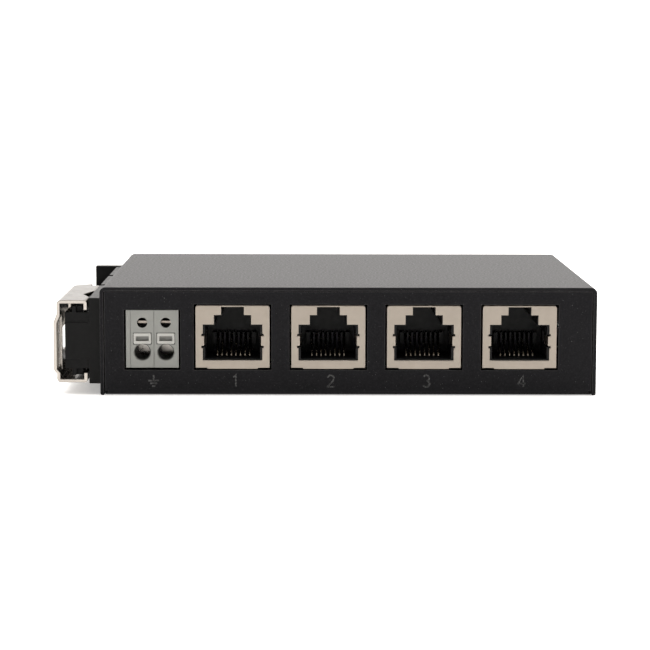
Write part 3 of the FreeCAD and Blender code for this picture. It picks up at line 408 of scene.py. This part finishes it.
def make_markings(material):
    """The port numbers and the earth sign, marked on the front panel below their openings."""
    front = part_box("base_chassis")[0].y
    height, base, half_stroke = 2.55 * MM, 1.85 * MM, 0.19 * MM
    proud, sunk = 0.012 * MM, 0.05 * MM
    earth_right, number_right = 0.25 * MM, 0.55 * MM
    earth_low, earth_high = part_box("pe_terminal_housing")
    places = [("earth", (earth_low.x + earth_high.x) / 2 + earth_right)]
    for number in range(1, 5):
        low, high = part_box(f"jack_{number}_shield")
        places.append((str(number), (low.x + high.x) / 2 + number_right))
    for figure, middle in places:
        mesh = bmesh.new()
        for points in FIGURES[figure]:
            placed = [(middle + x * height, base + z * height) for x, z in points]
            stroke(mesh, placed, half_stroke, front - proud, front + sunk)
        bmesh.ops.recalc_face_normals(mesh, faces=mesh.faces)
        name = f"marking_{figure}"
        data = bpy.data.meshes.new(name)
        mesh.to_mesh(data)
        mesh.free()
        data.materials.append(material)
        piece = bpy.data.objects.new(name, data)
        bpy.context.scene.collection.objects.link(piece)
        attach(piece, "case")


# ---------------------------------------------------------------- stage, light and camera

def make_stage():
    """A plain pale floor under the case."""
    clear = 0.02 * MM
    bpy.ops.mesh.primitive_plane_add(size=12.0, location=(0, 0, cad_low.z - clear))
    floor = bpy.context.object
    floor.name = "floor"
    paper = Shader("floor_paper", Roughness=0.9, Specular_IOR_Level=0.1, Emission_Strength=0.35)
    paper.surface.inputs["Emission Color"].default_value = (1.0, 0.99, 0.975, 1)
    paper.colour(paper.mix(paper.noise(60.0, 3.0), grey(0.90), grey(0.93)))
    floor.data.materials.append(paper.material)


def area_light(name, place, target, size, power, colour=(1, 1, 1)):
    """A soft square light of a size in metres, aimed at a point."""
    data = bpy.data.lights.new(name, "AREA")
    data.shape = "RECTANGLE"
    data.size, data.size_y = size
    data.energy = power
    data.color = colour
    lamp = bpy.data.objects.new(name, data)
    lamp.location = place
    lamp.rotation_euler = (Vector(target) - Vector(place)).to_track_quat("-Z", "Y").to_euler()
    bpy.context.scene.collection.objects.link(lamp)


def make_lights():
    """A pale room, brightest behind the case and overhead, with soft boxes above and to the sides."""
    bpy.context.scene.view_settings.view_transform = "Standard"
    world = bpy.data.worlds.new("studio")
    world.use_nodes = True
    tree = world.node_tree
    background = tree.nodes["Background"]
    background.inputs["Color"].default_value = (1.0, 0.972, 0.948, 1)
    direction = tree.nodes.new("ShaderNodeTexCoord").outputs["Generated"]
    apart = tree.nodes.new("ShaderNodeSeparateXYZ")
    tree.links.new(direction, apart.inputs[0])
    glows = []
    # How far the direction points along an axis, where the glow starts and ends rising, and from and
    # to what strength.
    for axis, start, end, dim, bright in (("Y", -0.45, 0.75, 0.10, 2.40), ("Z", 0.45, 1.0, 0.0, 1.0)):
        spread = tree.nodes.new("ShaderNodeMapRange")
        spread.interpolation_type = "SMOOTHSTEP"
        tree.links.new(apart.outputs[axis], spread.inputs[0])
        for socket, value in zip((1, 2, 3, 4), (start, end, dim, bright)):
            spread.inputs[socket].default_value = value
        glows.append(spread.outputs[0])
    total = tree.nodes.new("ShaderNodeMath")
    total.operation = "ADD"
    tree.links.new(glows[0], total.inputs[0])
    tree.links.new(glows[1], total.inputs[1])
    tree.links.new(total.outputs[0], background.inputs["Strength"])
    bpy.context.scene.world = world
    area_light("overhead", (0.0, 0.15, 1.1), (0, 0, 0), (1.6, 1.4), 13.0, (1.0, 0.98, 0.95))
    area_light("front_left", (-0.8, -1.0, 0.6), (0, 0, 0.01), (0.6, 0.6), 0.9)
    area_light("front_right", (0.9, -1.0, 0.4), (0, 0, 0.01), (0.5, 0.5), 0.5)


def make_camera():
    """A long lens in front of the ports, a little left of the middle and looking slightly down."""
    data = bpy.data.cameras.new("camera")
    data.sensor_width = 36.0
    data.lens = 119.2
    data.clip_start = 0.01
    camera = bpy.data.objects.new("camera", data)
    bpy.context.scene.collection.objects.link(camera)
    front_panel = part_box("base_chassis")[0].y
    left_of_middle, distance, height = 8.92 * MM, 461.6 * MM, 72.63 * MM
    camera.location = (-left_of_middle, front_panel - distance, height)
    down, turn, roll = math.radians(7.073), math.radians(0.476), math.radians(0.129)
    aim = Matrix.Rotation(-turn, 4, "Z") @ Matrix.Rotation(math.pi / 2 - down, 4, "X")
    camera.rotation_euler = (aim @ Matrix.Rotation(roll, 4, "Z")).to_euler()
    bpy.context.scene.camera = camera


make_camera()
make_stage()
make_lights()
materials = make_materials()
dress_nodes(materials)
give_springs(materials)
make_markings(materials["marking"])
